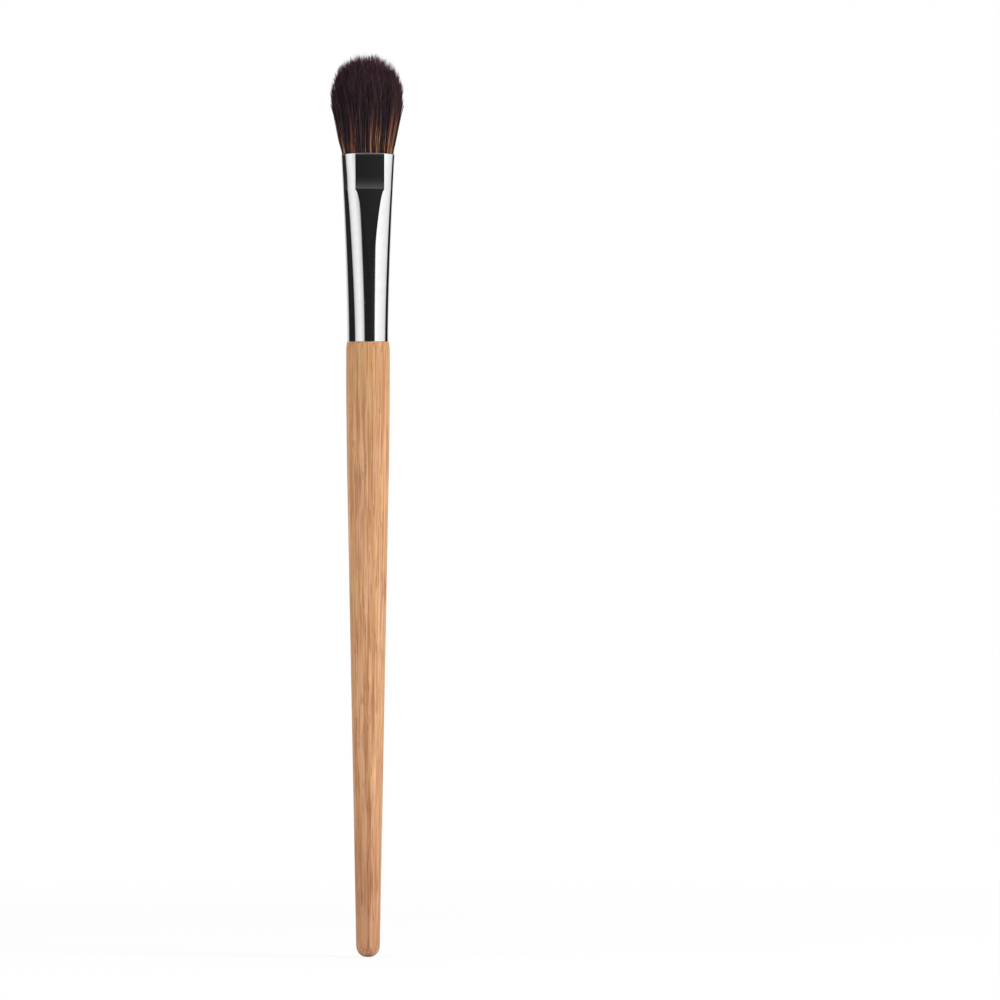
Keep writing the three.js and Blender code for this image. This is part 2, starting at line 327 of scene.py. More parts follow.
def handle_profile():
    """Radius and height from the round end up: taper, barrel, rounded shoulder and tenon."""
    crossing = HANDLE_LENGTH - BARREL_LENGTH
    ease_from = crossing - BARREL_EASE
    share = (ease_from - HANDLE_END_RADIUS) / (crossing - HANDLE_END_RADIUS)
    ease_radius = lerp(HANDLE_END_RADIUS, HANDLE_RADIUS, share)
    profile = [(HANDLE_END_FLAT / 2, 0)]
    for angle in arc(-90, 0, END_STEPS):
        profile.append((
            HANDLE_END_FLAT + (HANDLE_END_RADIUS - HANDLE_END_FLAT) * math.cos(angle),
            HANDLE_END_RADIUS * (1 + math.sin(angle)),
        ))
    for step in steps(TAPER_STEPS):
        profile.append((
            lerp(HANDLE_END_RADIUS, ease_radius, step),
            lerp(HANDLE_END_RADIUS, ease_from, step),
        ))
    for step in steps(EASE_STEPS):
        on_taper = lerp(ease_from, crossing, step)
        on_barrel = lerp(crossing, crossing + BARREL_EASE, step)
        radius = lerp(ease_radius, HANDLE_RADIUS, step)
        profile.append((lerp(radius, HANDLE_RADIUS, step), lerp(on_taper, on_barrel, step)))
    for step in np.linspace(0, 1, SHOULDER_STEPS + 1):
        radius = lerp(HANDLE_RADIUS, FERRULE_RADIUS, step * step)
        profile.append((radius, HANDLE_LENGTH - SHOULDER_ROUND * (1 - step)))
    tenon = tube_section(TENON_TOP)[1] - TENON_INSET
    profile.append((tenon, HANDLE_LENGTH))
    profile.append((tenon, TENON_TOP - TENON_CHAMFER))
    profile.append((tenon - TENON_CHAMFER, TENON_TOP))
    return profile


def turned(name, profile, columns):
    """A closed turned body from (radius, height) points, with a point at each end of its axis."""
    points = [(r * math.cos(t), r * math.sin(t), z) for r, z in profile for t in full_turn(columns)]
    faces = ring_faces(len(profile), columns, closed=False)
    bottom = len(points)
    points.append((0, 0, profile[0][1]))
    points.append((0, 0, profile[-1][1]))
    last = (len(profile) - 1) * columns
    for column in range(columns):
        beside = (column + 1) % columns
        faces.append((beside, column, bottom))
        faces.append((last + column, last + beside, bottom + 1))
    return new_piece(name, points, faces)


# Ferrule: a round tube, pressed to an ellipse with a flat panel front and back


def tube_rise(z):
    """0 at the ferrule's base and 1 at its mouth."""
    return clamp((z - FERRULE_BASE) / FERRULE_LENGTH)


def tube_width(z):
    """Half the width of the tube."""
    return lerp(FERRULE_RADIUS, MOUTH_WIDTH / 2, tube_rise(z) ** FLARE_POWER)


def flat_height(z, flat):
    """Half the thickness across flats of this half-width."""
    depth = lerp(FERRULE_RADIUS, MOUTH_DEPTH / 2, tube_rise(z) ** DEPTH_POWER)
    return depth * math.sqrt(1 - (flat / tube_width(z)) ** 2)


def tube_section(z):
    """Half the width, half the thickness across the flats and half the flat's width."""
    width = tube_width(z)
    if z < CREASE:
        below = min((CREASE - z) / FLAT_RUN, 1)
        flat = PANEL_HALF * (1 - below**FLAT_POWER)
        return width, flat_height(z, flat), flat
    up = min((z - CREASE) / PANEL_LENGTH, 1)
    low = flat_height(CREASE, PANEL_HALF)
    high = flat_height(MOUTH, PANEL_HALF)
    return width, lerp(low, high, up), PANEL_HALF


def crease_dip(z):
    """How much deeper the press bites towards the crease than the plane of the panel."""
    if z >= CREASE:
        return CREASE_DIP * clamp(1 - (z - CREASE) / DIP_ABOVE) ** DIP_ABOVE_POWER
    return CREASE_DIP * clamp(1 - (CREASE - z) / DIP_BELOW) ** DIP_BELOW_POWER


def panel_crown(z):
    """How far the middle of the flat stands out. Below the crease it fades."""
    if z >= CREASE:
        return PANEL_CROWN
    return PANEL_CROWN * clamp(1 - (CREASE - z) / DIP_BELOW)


def pressed_point(section, angle, inset):
    """Where the point at this angle of the round tube lies on a pressed section, inset from its outside."""
    width = section[0] - inset
    thickness = section[1] - inset
    flat = section[2]
    quarter = math.pi / 2
    edge = math.acos(flat / width)
    ellipse_height = thickness / math.sin(edge)
    turn = math.atan2(abs(math.sin(angle)), abs(math.cos(angle)))
    edge_turn = (1 - FLAT_SHARE) * quarter
    moved_edge = lerp(edge_turn, edge, flat / PANEL_HALF)
    if turn < edge_turn:
        moved = turn * moved_edge / edge_turn
    else:
        moved = moved_edge + (turn - edge_turn) * (quarter - moved_edge) / (quarter - edge_turn)
    x = width * math.cos(moved)
    y = min(ellipse_height * math.sin(moved), thickness)
    return math.copysign(x, math.cos(angle)), math.copysign(y, math.sin(angle))


def ferrule_ring(z, inset):
    """One ring of the tube. The panel is slightly crowned, and the lip stands highest at its middle."""
    width, thickness, flat = tube_section(z)
    section = (width, thickness - crease_dip(z), flat)
    near_lip = clamp((z - MOUTH + LIP_ARCH_RUN) / LIP_ARCH_RUN)
    crown = panel_crown(z)
    ring = []
    for turn in full_turn(TUBE_COLUMNS):
        x, y = pressed_point(section, turn, inset)
        if abs(x) < flat:
            y += math.copysign(crown * (1 - (x / flat) ** 2), y)
        ring.append((x, y, z - LIP_ARCH * near_lip * (x / width) ** 2))
    return ring


def ferrule_outline():
    """Height and inset of each ring: up the outside, over the lip and down the inside."""
    outline = []
    for turn in arc(-90, 0, BASE_STEPS):
        height = FERRULE_BASE + BASE_ROUND * (1 + math.sin(turn))
        outline.append((height, BASE_ROUND * (1 - math.cos(turn))))
    first, second = BASE_RINGS
    outline.append((FERRULE_BASE + first, 0))
    for height in np.linspace(FERRULE_BASE + second, CREASE, TUBE_RINGS):
        outline.append((height, 0))
    for share in steps(PANEL_RINGS):
        outline.append((lerp(CREASE, MOUTH - LIP_EDGE, share), 0))
    for below, share in LIP_SWELL:
        outline.append((MOUTH - below, -share * LIP_BEAD))
    for turn in arc(0, 90, LIP_STEPS_OUTSIDE):
        height = MOUTH - LIP_ROUND * (1 - math.sin(turn))
        outline.append((height, LIP_ROUND * (1 - math.cos(turn)) - LIP_BEAD))
    for turn in arc(90, 180, LIP_STEPS_INSIDE):
        height = MOUTH - LIP_ROUND * (1 - math.sin(turn))
        outline.append((height, FERRULE_WALL - LIP_ROUND * (1 + math.cos(turn))))
    for height in np.linspace(MOUTH - 2 * LIP_ROUND, CREASE, INNER_PANEL_RINGS):
        outline.append((height, FERRULE_WALL))
    for share in steps(INNER_TUBE_RINGS):
        outline.append((lerp(CREASE, FERRULE_BASE, share**2), FERRULE_WALL))
    return outline


def ferrule_piece():
    rings = [ferrule_ring(height, inset) for height, inset in ferrule_outline()]
    points = [point for ring in rings for point in ring]
    return new_piece("ferrule_tube", points, ring_faces(len(rings), TUBE_COLUMNS, closed=True))


# Tuft: separate fibres that leave the mouth, fan out to the belly and end on the dome


def nearest(points, centres):
    """Which of the centres each point is nearest to."""
    gaps = ((points[:, None, :] - centres[None, :, :]) ** 2).sum(2)
    return gaps.argmin(1)


def disc_points(count, power):
    """Points spread over a disc of radius 1, and their places as distance and angle."""
    turns = rng.uniform(0, 2 * math.pi, count)
    shares = rng.uniform(0, 1, count) ** power
    return np.stack([np.cos(turns), np.sin(turns)], 1) * shares[:, None], shares, turns


def even_disc(count, power):
    """Points spread evenly over a disc of radius 1: a spiral with a golden turn between points."""
    order = np.arange(count) + 0.5
    turns = order * math.pi * (3 - math.sqrt(5))
    shares = (order / count) ** power
    return np.stack([np.cos(turns), np.sin(turns)], 1) * shares[:, None]


def over_lip(height):
    """0 at the mouth and below it, and near 1 once the fibres are clear of the lip."""
    return 1 - np.exp(-np.clip(height, 0, None) / LIP_CLEARING)


def fan(root, belly, height):
    """Where fibres that start at root and pass belly are, at heights above the mouth."""
    up = np.clip(height / BELLY_HEIGHT, 0, None)
    opened = FAN_OPENING * up
    swell = 1 + LIP_OPENING * over_lip(height) * (1 - OPENING_FADE * np.minimum(up, 1))
    return lerp(root, belly, opened[..., None]) * swell[..., None]


def lean(height):
    """How far the whole tuft leans to the left, at heights above the mouth."""
    return LEAN_AT_LIP * over_lip(height) + LEAN_TO_BELLY * np.clip(height / BELLY_HEIGHT, 0, 1)


def dome_lengths(root, belly, half, dome, power):
    """Heights at which fibres meet a dome of that half-width, height and roundness, found by halving."""
    low = np.full(len(root), BELLY_HEIGHT - SHORTEST_DROP)
    high = np.full(len(root), TUFT_LENGTH + TOP_REACH)
    for _ in range(HALVINGS):
        middle = (low + high) / 2
        place = fan(root, belly, middle) / half
        climb = np.clip((middle - BELLY_HEIGHT) / dome, 0, None)
        outside = (place**2).sum(1) + climb**power > 1
        high = np.where(outside, middle, high)
        low = np.where(outside, low, middle)
    return low


def strand_bellies(on_disc, wisp_of):
    """Where fibres pass the belly: their place on the disc, with their wisp's stray and their own."""
    stray = rng.normal(0, WISP_STRAY, (WISPS, 2))[wisp_of]
    stray += rng.normal(0, STRAND_STRAY, (STRANDS, 2))
    belly = (on_disc + stray) * DENSE_HALF
    out = np.hypot(*(belly / OUTER_HALF).T)
    return belly / np.maximum(out / BELLY_LIMIT, 1)[:, None]


def strand_lengths(root, on_disc, belly, wisp_of):
    """Length of each fibre, between the dense dome and the outer reach, and how loose it is."""
    on_dome = on_disc * DENSE_HALF
    dense = dome_lengths(root, on_dome, DENSE_HALF, DOME_HEIGHT - TOP_FRINGE, DENSE_POWER)
    full = dome_lengths(root, belly, OUTER_HALF, DOME_HEIGHT + TOP_REACH, REACH_POWER)
    dense = np.minimum(dense, full)
    leaves = rng.uniform(0, 1, STRANDS) < LOOSE_SHARE
    loose = np.where(leaves, rng.uniform(*LOOSE_RANGE, STRANDS), 0)
    tip_share = WISP_TIPS * rng.uniform(0, 1, WISPS)[wisp_of] ** WISP_TIPS_POWER
    tip_share += STRAND_TIPS * rng.uniform(0, 1, STRANDS) ** STRAND_TIPS_POWER
    return lerp(dense, full, np.maximum(tip_share, loose)), loose


def strand_kinds(across, lock_of, wisp_of):
    """One number for each fibre's tone and ginger reach. The streaks go by its place across the mouth."""
    across = across + rng.normal(0, STREAK_JITTER, WISPS)[wisp_of]
    stray = rng.uniform(0, 1, STRANDS) < STRAY_GINGER
    reach = np.where(stray, rng.uniform(*STRAY_REACHES, STRANDS), 0)
    for place, width, far, amount in GINGER_STREAKS:
        chance = amount * np.exp(-(((across - place) / width) ** 2))
        picked = rng.uniform(0, 1, STRANDS) < chance
        reach = np.where(picked, far + rng.normal(0, STREAK_REACH_JITTER, STRANDS), reach)
    tone = LOCK_TONE * rng.uniform(0, 1, LOCKS)[lock_of]
    tone += WISP_TONE * rng.uniform(0, 1, WISPS)[wisp_of]
    tone += STRAND_TONE * rng.uniform(0, 1, STRANDS)
    step = np.clip((tone * TONES).astype(int), 0, TONES - 1)
    return step + TONES * np.digitize(reach, REACH_LIMITS)


def strand_plan():
    """Root, belly and length of each fibre, what draws it aside, and its kind of shade."""
    mouth_section = tube_section(MOUTH)
    on_disc, share, turn = disc_points(STRANDS, ROOT_SPREAD)
    outline = np.array([pressed_point(mouth_section, t, ROOT_INSET) for t in turn])
    root = outline * share[:, None]
    lock = disc_points(LOCKS, LOCK_SPREAD)[0]
    lock_of = nearest(on_disc, lock)
    wisp = even_disc(WISPS, ROOT_SPREAD) + rng.normal(0, WISP_JITTER, (WISPS, 2))
    wisp_of = nearest(on_disc, wisp)
    belly = strand_bellies(on_disc, wisp_of)
    length, loose = strand_lengths(root, on_disc, belly, wisp_of)
    in_wisp = np.where(loose > 0, 0, 1)[:, None]
    flick = rng.uniform(0, FLICK, STRANDS) + LOOSE_FLICK * loose
    # The back is the front turned half round, so that both sides show the same streaks
    across = root[:, 0] * np.where(root[:, 1] < 0, 1, -1) / (mouth_section[0] - ROOT_INSET)
    return {
        "root": root,
        "belly": belly,
        "length": length,
        "to_lock": (lock[lock_of] - on_disc) * DENSE_HALF,
        "to_wisp": (wisp[wisp_of] - on_disc) * DENSE_HALF * in_wisp,
        "flick": on_disc * flick[:, None],
        "kind": strand_kinds(across, lock_of, wisp_of),
    }


def strand_points(plan):
    """Centre of each ring of each fibre, and how far along the free fibre the ring is."""
    along = np.array(STRAND_PLACES)
    length = plan["length"][:, None]
    height = -ROOT_DEPTH + (length + ROOT_DEPTH) * along[None, :]
    free = np.clip(height / length, 0, 1)
    flat = fan(plan["root"][:, None, :], plan["belly"][:, None, :], height)
    for name, share, power in PULLS:
        flat = flat + plan[name][:, None, :] * (share * free**power)[:, :, None]
    sway = rng.normal(0, SWAY, (STRANDS, 1, 2)) * (free**2)[:, :, None]
    phase = rng.uniform(0, 2 * math.pi, (STRANDS, 1, 2))
    wave = WAVE * np.sin(phase + WAVE_TURN * free[:, :, None]) * free[:, :, None]
    flat = flat + sway + wave
    flat[:, :, 0] -= lean(height)
    return np.concatenate([flat, (MOUTH + height)[:, :, None]], 2), free


def strand_faces(free, kind):
    """Faces of the fibres, and for each corner its place in the bake's map.

    The map has a column for each kind of fibre and runs up along the fibre.
    """
    per_strand = STRAND_RINGS * STRAND_SIDES + 1
    faces = []
    columns = []
    rows = []
    for strand, place in enumerate(free):
        first = strand * per_strand
        tip = first + per_strand - 1
        column = int(kind[strand]) + KIND_MARGIN
        for side in range(STRAND_SIDES):
            beside = (side + 1) % STRAND_SIDES
            left = (column + (1 - 2 * KIND_MARGIN) * side / STRAND_SIDES) / KINDS
            right = (column + (1 - 2 * KIND_MARGIN) * (side + 1) / STRAND_SIDES) / KINDS
            for step in range(STRAND_RINGS - 1):
                here = first + step * STRAND_SIDES
                above = here + STRAND_SIDES
                faces.append((here + side, here + beside, above + beside, above + side))
                columns += (left, right, right, left)
                rows += (place[step], place[step], place[step + 1], place[step + 1])
            here = first + (STRAND_RINGS - 1) * STRAND_SIDES
            faces.append((here + side, here + beside, tip))
            columns += (left, right, (left + right) / 2)
            rows += (place[-2], place[-2], place[-1])
        # The cut end inside the ferrule
        faces.append((first + 2, first + 1, first))
        columns += (right, (left + right) / 2, left)
        rows += (0.0, 0.0, 0.01)
    rows = MAP_MARGIN + (1 - 2 * MAP_MARGIN) * np.array(rows)
    return faces, np.stack([columns, rows], 1)


def strand_piece(name, centres, free, kind):
    """A mesh of three-sided, pointed fibres with their shade and place along the fibre as attributes."""
    count = len(centres)
    taper = 1 - TAPER * np.clip((free - TAPER_FROM) / (1 - TAPER_FROM), 0, 1) ** 2
    radius = STRAND_RADIUS * rng.uniform(*RADIUS_RANGE, (count, 1)) * taper
    spin = rng.uniform(0, 2 * math.pi, (count, 1, 1))
    sides = spin + np.arange(STRAND_SIDES) * 2 * math.pi / STRAND_SIDES
    ring = np.stack([np.cos(sides), np.sin(sides), np.zeros_like(sides)], 3)
    body = centres[:, :-1, None, :] + ring * radius[:, :-1, None, None]
    points = np.concatenate([body.reshape(count, -1, 3), centres[:, -1:, :]], 1)
    per_strand = points.shape[1]
    faces, bake_map = strand_faces(free, kind)
    piece = new_piece(name, points.reshape(-1, 3), faces)
    uv = piece.data.uv_layers.new(name="OFBake")
    uv.data.foreach_set("uv", bake_map.ravel())
    tone = (kind % TONES) / (TONES - 1)
    reach = np.array(REACHES)[kind // TONES]
    along = np.concatenate([np.repeat(free[:, :-1], STRAND_SIDES, 1), free[:, -1:]], 1).ravel()
    for label, values in (
        ("along", along),
        ("tone", np.repeat(tone, per_strand)),
        ("ginger", np.repeat(reach, per_strand)),
    ):
        layer = piece.data.attributes.new(label, "FLOAT", "POINT")
        layer.data.foreach_set("value", values.astype(np.float32))
    return piece


def core_piece():
    """The dense inside of the tuft, which shows only as depth between the fibres. It stands for the inner
    fibres, coloured darker than they are as painted shade.
    """
    heights = list(CORE_HEIGHTS)
    for angle in np.linspace(*CORE_DOME_TURNS, CORE_DOME_RINGS):
        heights.append(BELLY_HEIGHT + DOME_HEIGHT * CORE_DOME_TOP * math.sin(angle))
    mouth_section = tube_section(MOUTH)
    points = []
    for height in heights:
        flare = clamp(height / BELLY_HEIGHT)
        climb = clamp((height - BELLY_HEIGHT) / (DOME_HEIGHT * CORE_DOME))
        dome = math.sqrt(1 - climb * climb)
        for turn in full_turn(CORE_COLUMNS):
            root = np.array(pressed_point(mouth_section, turn, ROOT_INSET)) * CORE_ROOT
            belly = np.array((math.cos(turn), math.sin(turn))) * OUTER_HALF * CORE_BELLY
            place = lerp(root, belly, flare) * dome
            points.append((place[0], place[1], MOUTH + height))
    faces = ring_faces(len(heights), CORE_COLUMNS, closed=False)
    faces.append(tuple(reversed(range(CORE_COLUMNS))))
    last = (len(heights) - 1) * CORE_COLUMNS
    faces.append(tuple(range(last, last + CORE_COLUMNS)))
    return new_piece("tuft_core", points, faces)


# Materials

# Strips of cane to the metre, across the handle
WIDE_STRIPS = 1500
NARROW_STRIPS = 3700
LONG_VEINS = 4400
SHORT_VEINS = 5600
SPOTS = 4800
STRIP_OFFSET = 700.0  # over how much of the noise the strips are spread
# Heights in metres above the handle's end
DARKER_FOOT_HEIGHT = 0.05
END_RIM_HEIGHT = 0.0009


def node(tree, kind, inputs, **settings):
    """A new node. Its inputs are sockets to link or values, and its settings are the node's own."""
    made = tree.nodes.new(kind)
    for key, value in settings.items():
        setattr(made, key, value)
    for key, value in inputs.items():
        if isinstance(value, bpy.types.NodeSocket):
            tree.links.new(value, made.inputs[key])
        else:
            made.inputs[key].default_value = value
    return made


def rgb(colour):
    return (*colour, 1.0)


def stretched(tree, scale):
    """Places on the object, scaled. A small scale along Z draws a texture out along the brush."""
    coordinates = node(tree, "ShaderNodeTexCoord", {})
    mapping = node(tree, "ShaderNodeMapping", {"Vector": coordinates.outputs["Object"], "Scale": scale})
    return mapping.outputs["Vector"]


def noise(tree, vector, scale, detail, roughness=0.5):
    made = node(
        tree,
        "ShaderNodeTexNoise",
        {"Vector": vector, "Scale": scale, "Detail": detail, "Roughness": roughness},
    )
    return made.outputs["Fac"]


def ramp(tree, factor, stops):
    made = node(tree, "ShaderNodeValToRGB", {"Fac": factor})
    elements = made.color_ramp.elements
    while len(elements) < len(stops):
        elements.new(0.5)
    for element, (place, colour) in zip(elements, stops):
        element.position = place
        element.color = rgb(colour)
    return made.outputs["Color"]


def remap(tree, value, low, high, to_low, to_high, smooth=False):
    made = node(
        tree,
        "ShaderNodeMapRange",
        {"Value": value, "From Min": low, "From Max": high, "To Min": to_low, "To Max": to_high},
        interpolation_type="SMOOTHSTEP" if smooth else "LINEAR",
    )
    return made.outputs["Result"]


def maths(tree, operation, first, second):
    return node(tree, "ShaderNodeMath", {0: first, 1: second}, operation=operation).outputs[0]


def mix(tree, factor, first, second, blend="MIX"):
    made = node(tree, "ShaderNodeMix", {0: factor, 6: first, 7: second}, data_type="RGBA", blend_type=blend)
    return made.outputs[2]


def surface(name):
    """A new material: its tree and its Principled shader."""
    material = bpy.data.materials.new(name)
    material.use_nodes = True
    return material, material.node_tree, material.node_tree.nodes["Principled BSDF"]


def bump(tree, shader, height, strength, distance):
    made = node(
        tree, "ShaderNodeBump", {"Height": height, "Strength": strength, "Distance": distance}
    )
    tree.links.new(made.outputs["Normal"], shader.inputs["Normal"])


def cells(tree, place, scale, feature, output):
    """Cells across the cane. They have no end along it, so on the handle they are straight strips."""
    made = node(
        tree,
        "ShaderNodeTexVoronoi",
        {"Vector": place, "Scale": scale},
        feature=feature,
        voronoi_dimensions="2D",
    )
    return made.outputs[output]


def strip_runs(tree, place, height, scale, per_metre, detail):
    """Noise along straight strips of cane, different on each strip and with a crisp edge between strips."""
    colour = cells(tree, place, scale, "F1", "Color")
    strip = node(tree, "ShaderNodeSeparateColor", {0: colour}).outputs["Red"]
    run = maths(tree, "MULTIPLY", height, per_metre)
    run = maths(tree, "ADD", run, maths(tree, "MULTIPLY", strip, STRIP_OFFSET))
    made = node(
        tree,
        "ShaderNodeTexNoise",
        {"W": run, "Scale": 1.0, "Detail": detail},
        noise_dimensions="1D",
    )
    return made.outputs["Fac"]


def bamboo_material():
    """Straight strips of cane with fine grain, seams, veins and spots, and a darker foot."""
    material, tree, shader = surface("bamboo")
    place = node(tree, "ShaderNodeTexCoord", {}).outputs["Object"]
    height = node(tree, "ShaderNodeSeparateXYZ", {0: place}).outputs["Z"]
    grain = noise(tree, stretched(tree, (1, 1, 0.03)), scale=5000, detail=3.0, roughness=0.6)
    patches = noise(tree, stretched(tree, (1, 1, 0.06)), scale=420, detail=2.0)
    breaks = noise(tree, stretched(tree, (1, 1, 0.02)), scale=2400, detail=1.0)
    strips = strip_runs(tree, place, height, WIDE_STRIPS, per_metre=18, detail=0.0)
    colour = ramp(tree, strips, (
        (0.2, (0.55, 0.28, 0.126)),
        (0.35, (0.60, 0.312, 0.148)),
        (0.45, (0.62, 0.357, 0.157)),
        (0.55, (0.655, 0.349, 0.178)),
        (0.65, (0.69, 0.38, 0.205)),
        (0.8, (0.735, 0.42, 0.232)),
    ))
    narrow = strip_runs(tree, place, height, NARROW_STRIPS, per_metre=45, detail=1.0)
    narrow = ramp(tree, narrow, (
        (0.22, (0.80, 0.75, 0.72)),
        (0.42, (0.96, 0.95, 0.94)),
        (0.58, (1.03, 1.03, 1.03)),
        (0.8, (1.09, 1.11, 1.12)),
    ))
    colour = mix(tree, 1.0, colour, narrow, "MULTIPLY")
    fine = ramp(tree, grain, ((0.3, (0.92, 0.905, 0.89)), (0.68, (1.05, 1.05, 1.04))))
    colour = mix(tree, 1.0, colour, fine, "MULTIPLY")
    clouds = ramp(tree, patches, ((0.35, (0.972, 0.963, 0.975)), (0.65, (1.068, 1.07, 1.09))))
    colour = mix(tree, 1.0, colour, clouds, "MULTIPLY")
    seams = cells(tree, place, WIDE_STRIPS, "DISTANCE_TO_EDGE", "Distance")
    seams = remap(tree, seams, 0.03, 0.1, 1.0, 0.0, smooth=True)
    seam_share = remap(tree, breaks, 0.47, 0.56, 0.0, 0.7, smooth=True)
    seams = maths(tree, "MULTIPLY", seams, seam_share)
    colour = mix(tree, seams, colour, rgb((0.36, 0.15, 0.055)))
    long_veins = strip_runs(tree, place, height, LONG_VEINS, per_metre=26, detail=1.0)
    long_veins = remap(tree, long_veins, 0.54, 0.66, 0.0, 0.6)
    colour = mix(tree, long_veins, colour, rgb((0.43, 0.168, 0.064)))
    short_veins = strip_runs(tree, place, height, SHORT_VEINS, per_metre=90, detail=1.0)
    short_veins = remap(tree, short_veins, 0.58, 0.7, 0.0, 0.5)
    colour = mix(tree, short_veins, colour, rgb((0.40, 0.155, 0.06)))
    spots = strip_runs(tree, place, height, SPOTS, per_metre=170, detail=0.0)
    spots = remap(tree, spots, 0.8, 0.84, 0.0, 0.35)
    colour = mix(tree, spots, colour, rgb((0.2, 0.085, 0.035)))
    # Darker towards the handle's foot.
    darker_foot = remap(tree, height, 0.0, DARKER_FOOT_HEIGHT, 1.0, 0.0, smooth=True)
    colour = mix(tree, darker_foot, colour, rgb((0.82, 0.745, 0.765)), "MULTIPLY")
    # Darker still in a thin band at the very end of the handle.
    darker_end_rim = remap(tree, height, 0.0, END_RIM_HEIGHT, 0.85, 0.0, smooth=True)
    colour = mix(tree, darker_end_rim, colour, rgb((0.62, 0.56, 0.54)), "MULTIPLY")
    tree.links.new(colour, shader.inputs["Base Color"])
    tree.links.new(remap(tree, grain, 0.3, 0.7, 0.34, 0.5), shader.inputs["Roughness"])
    relief = maths(tree, "SUBTRACT", grain, long_veins)
    bump(tree, shader, relief, strength=0.15, distance=0.00005)
    return material


def metal_material():
    """Polished metal with faint clouds, and faint lines along the tube from its drawing."""
    material, tree, shader = surface("ferrule_metal")
    shader.inputs["Metallic"].default_value = 1.0
    cloudy = noise(tree, stretched(tree, (1, 1, 1)), scale=700, detail=3.0)
    drawn = noise(tree, stretched(tree, (1, 1, 0.04)), scale=6000, detail=2.0)
    colour = ramp(tree, cloudy, ((0.3, (0.89, 0.89, 0.895)), (0.7, (0.94, 0.94, 0.94))))
    tree.links.new(colour, shader.inputs["Base Color"])
    rough = maths(
        tree,
        "ADD",
        remap(tree, cloudy, 0.3, 0.7, 0.05, 0.09),
        remap(tree, drawn, 0.5, 0.75, 0.0, 0.06),
    )
    tree.links.new(rough, shader.inputs["Roughness"])
    return material


def attribute(tree, name):
    return node(tree, "ShaderNodeAttribute", {}, attribute_name=name).outputs["Fac"]


def fibre_material():
    """Dark fibres in many tones, some ginger from the root up to their own reach, with redder ends, partly
    their own tint and partly painted light shining through the thin tips.
    """
    material, tree, shader = surface("fibre")
    along = attribute(tree, "along")
    tone = attribute(tree, "tone")
    ginger = attribute(tree, "ginger")
    dark = ramp(tree, tone, (
        (0.1, (0.013, 0.008, 0.012)),
        (0.5, (0.042, 0.0245, 0.031)),
        (0.95, (0.096, 0.054, 0.06)),
    ))
    light = ramp(tree, tone, (
        (0.1, (0.17, 0.056, 0.038)),
        (0.4, (0.37, 0.13, 0.078)),
        (0.65, (0.48, 0.2, 0.088)),
        (1.0, (0.72, 0.41, 0.19)),
    ))
    russet = remap(tree, along, 0.06, 0.72, 0.0, 0.8)
    light = mix(tree, russet, light, rgb((0.19, 0.06, 0.038)))
    shadow = remap(tree, along, 0.0, 0.35, 0.35, 0.0)
    dark = mix(tree, shadow, dark, rgb((0.008, 0.004, 0.005)))
    reach = remap(tree, maths(tree, "SUBTRACT", ginger, along), 0.0, 0.5, 0.0, 1.0, smooth=True)
    colour = mix(tree, reach, dark, light)
    # Painted light: the tips are redder, partly their own tint and partly painted light shining through
    # them from behind.
    tip_tint_and_backlight = remap(tree, along, 0.965, 1.0, 0.0, 0.7)
    colour = mix(tree, tip_tint_and_backlight, colour, rgb((0.3, 0.07, 0.135)))
    tree.links.new(colour, shader.inputs["Base Color"])
    shader.inputs["Roughness"].default_value = 0.5
    shader.inputs["Specular IOR Level"].default_value = 0.22
    return material


def streaked_material(name, dark, light, scale, roughness, stretch):
    """Two shades in streaks or clouds, for the dense inside and the hidden fillings."""
    material, tree, shader = surface(name)
    streaks = noise(tree, stretched(tree, stretch), scale, detail=2.0)
    colour = ramp(tree, streaks, ((0.3, dark), (0.7, light)))
    tree.links.new(colour, shader.inputs["Base Color"])
    rough = remap(tree, streaks, 0.3, 0.7, roughness, roughness + 0.12)
    tree.links.new(rough, shader.inputs["Roughness"])
    bump(tree, shader, streaks, strength=0.2, distance=0.00005)
    return material


def dress(piece, material):
    piece.data.materials.clear()
    piece.data.materials.append(material)


# Pieces

fibre = fibre_material()

handle = turned("handle_turned", handle_profile(), HANDLE_COLUMNS)
dress(handle, bamboo_material())
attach(handle, "brush")
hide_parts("handle")

ferrule = ferrule_piece()
dress(ferrule, metal_material())
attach(ferrule, "brush")
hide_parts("ferrule")

core = core_piece()
# Painted shade: the inside is coloured darker than the fibres, for the shade deep in the tuft.
dress(core, streaked_material(
    "fibre_inside",
    dark=(0.008, 0.005, 0.006),
    light=(0.02, 0.012, 0.014),
    scale=5000,
    roughness=0.6,
    stretch=(1, 1, 0.05),
))
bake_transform(core)
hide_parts("tuft_root")

plan = strand_plan()
centres, free = strand_points(plan)
front = plan["root"][:, 1] < 0
for side, chosen in (("front", front), ("back", ~front)):
    strands = strand_piece("tuft_fibres_" + side, centres[chosen], free[chosen], plan["kind"][chosen])
    dress(strands, fibre)
    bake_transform(strands)
    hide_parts("tuft_head")

FILLINGS = {
    # dark and light shade, scale, roughness, stretch
    "handle_glue": ((0.70, 0.66, 0.56), (0.82, 0.79, 0.70), 900, 0.3, (1, 1, 1)),
    "resin_plug": ((0.55, 0.42, 0.20), (0.72, 0.60, 0.34), 600, 0.22, (1, 1, 1)),
    "binding_thread": ((0.62, 0.55, 0.43), (0.84, 0.78, 0.66), 5200, 0.75, (1, 1, 2)),
}
for name, look in FILLINGS.items():
    dress(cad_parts[name], streaked_material(name, *look))


# Camera and studio: a white floor, two soft lamps, and all round white screens with dark gaps between


def place_facing(thing, target, out, distance):
    """Links a camera or lamp that far out from the target, facing it."""
    thing.location = target + out * distance
    thing.rotation_mode = "QUATERNION"
    thing.rotation_quaternion = (-out).to_track_quat("-Z", "Y")
    bpy.context.scene.collection.objects.link(thing)


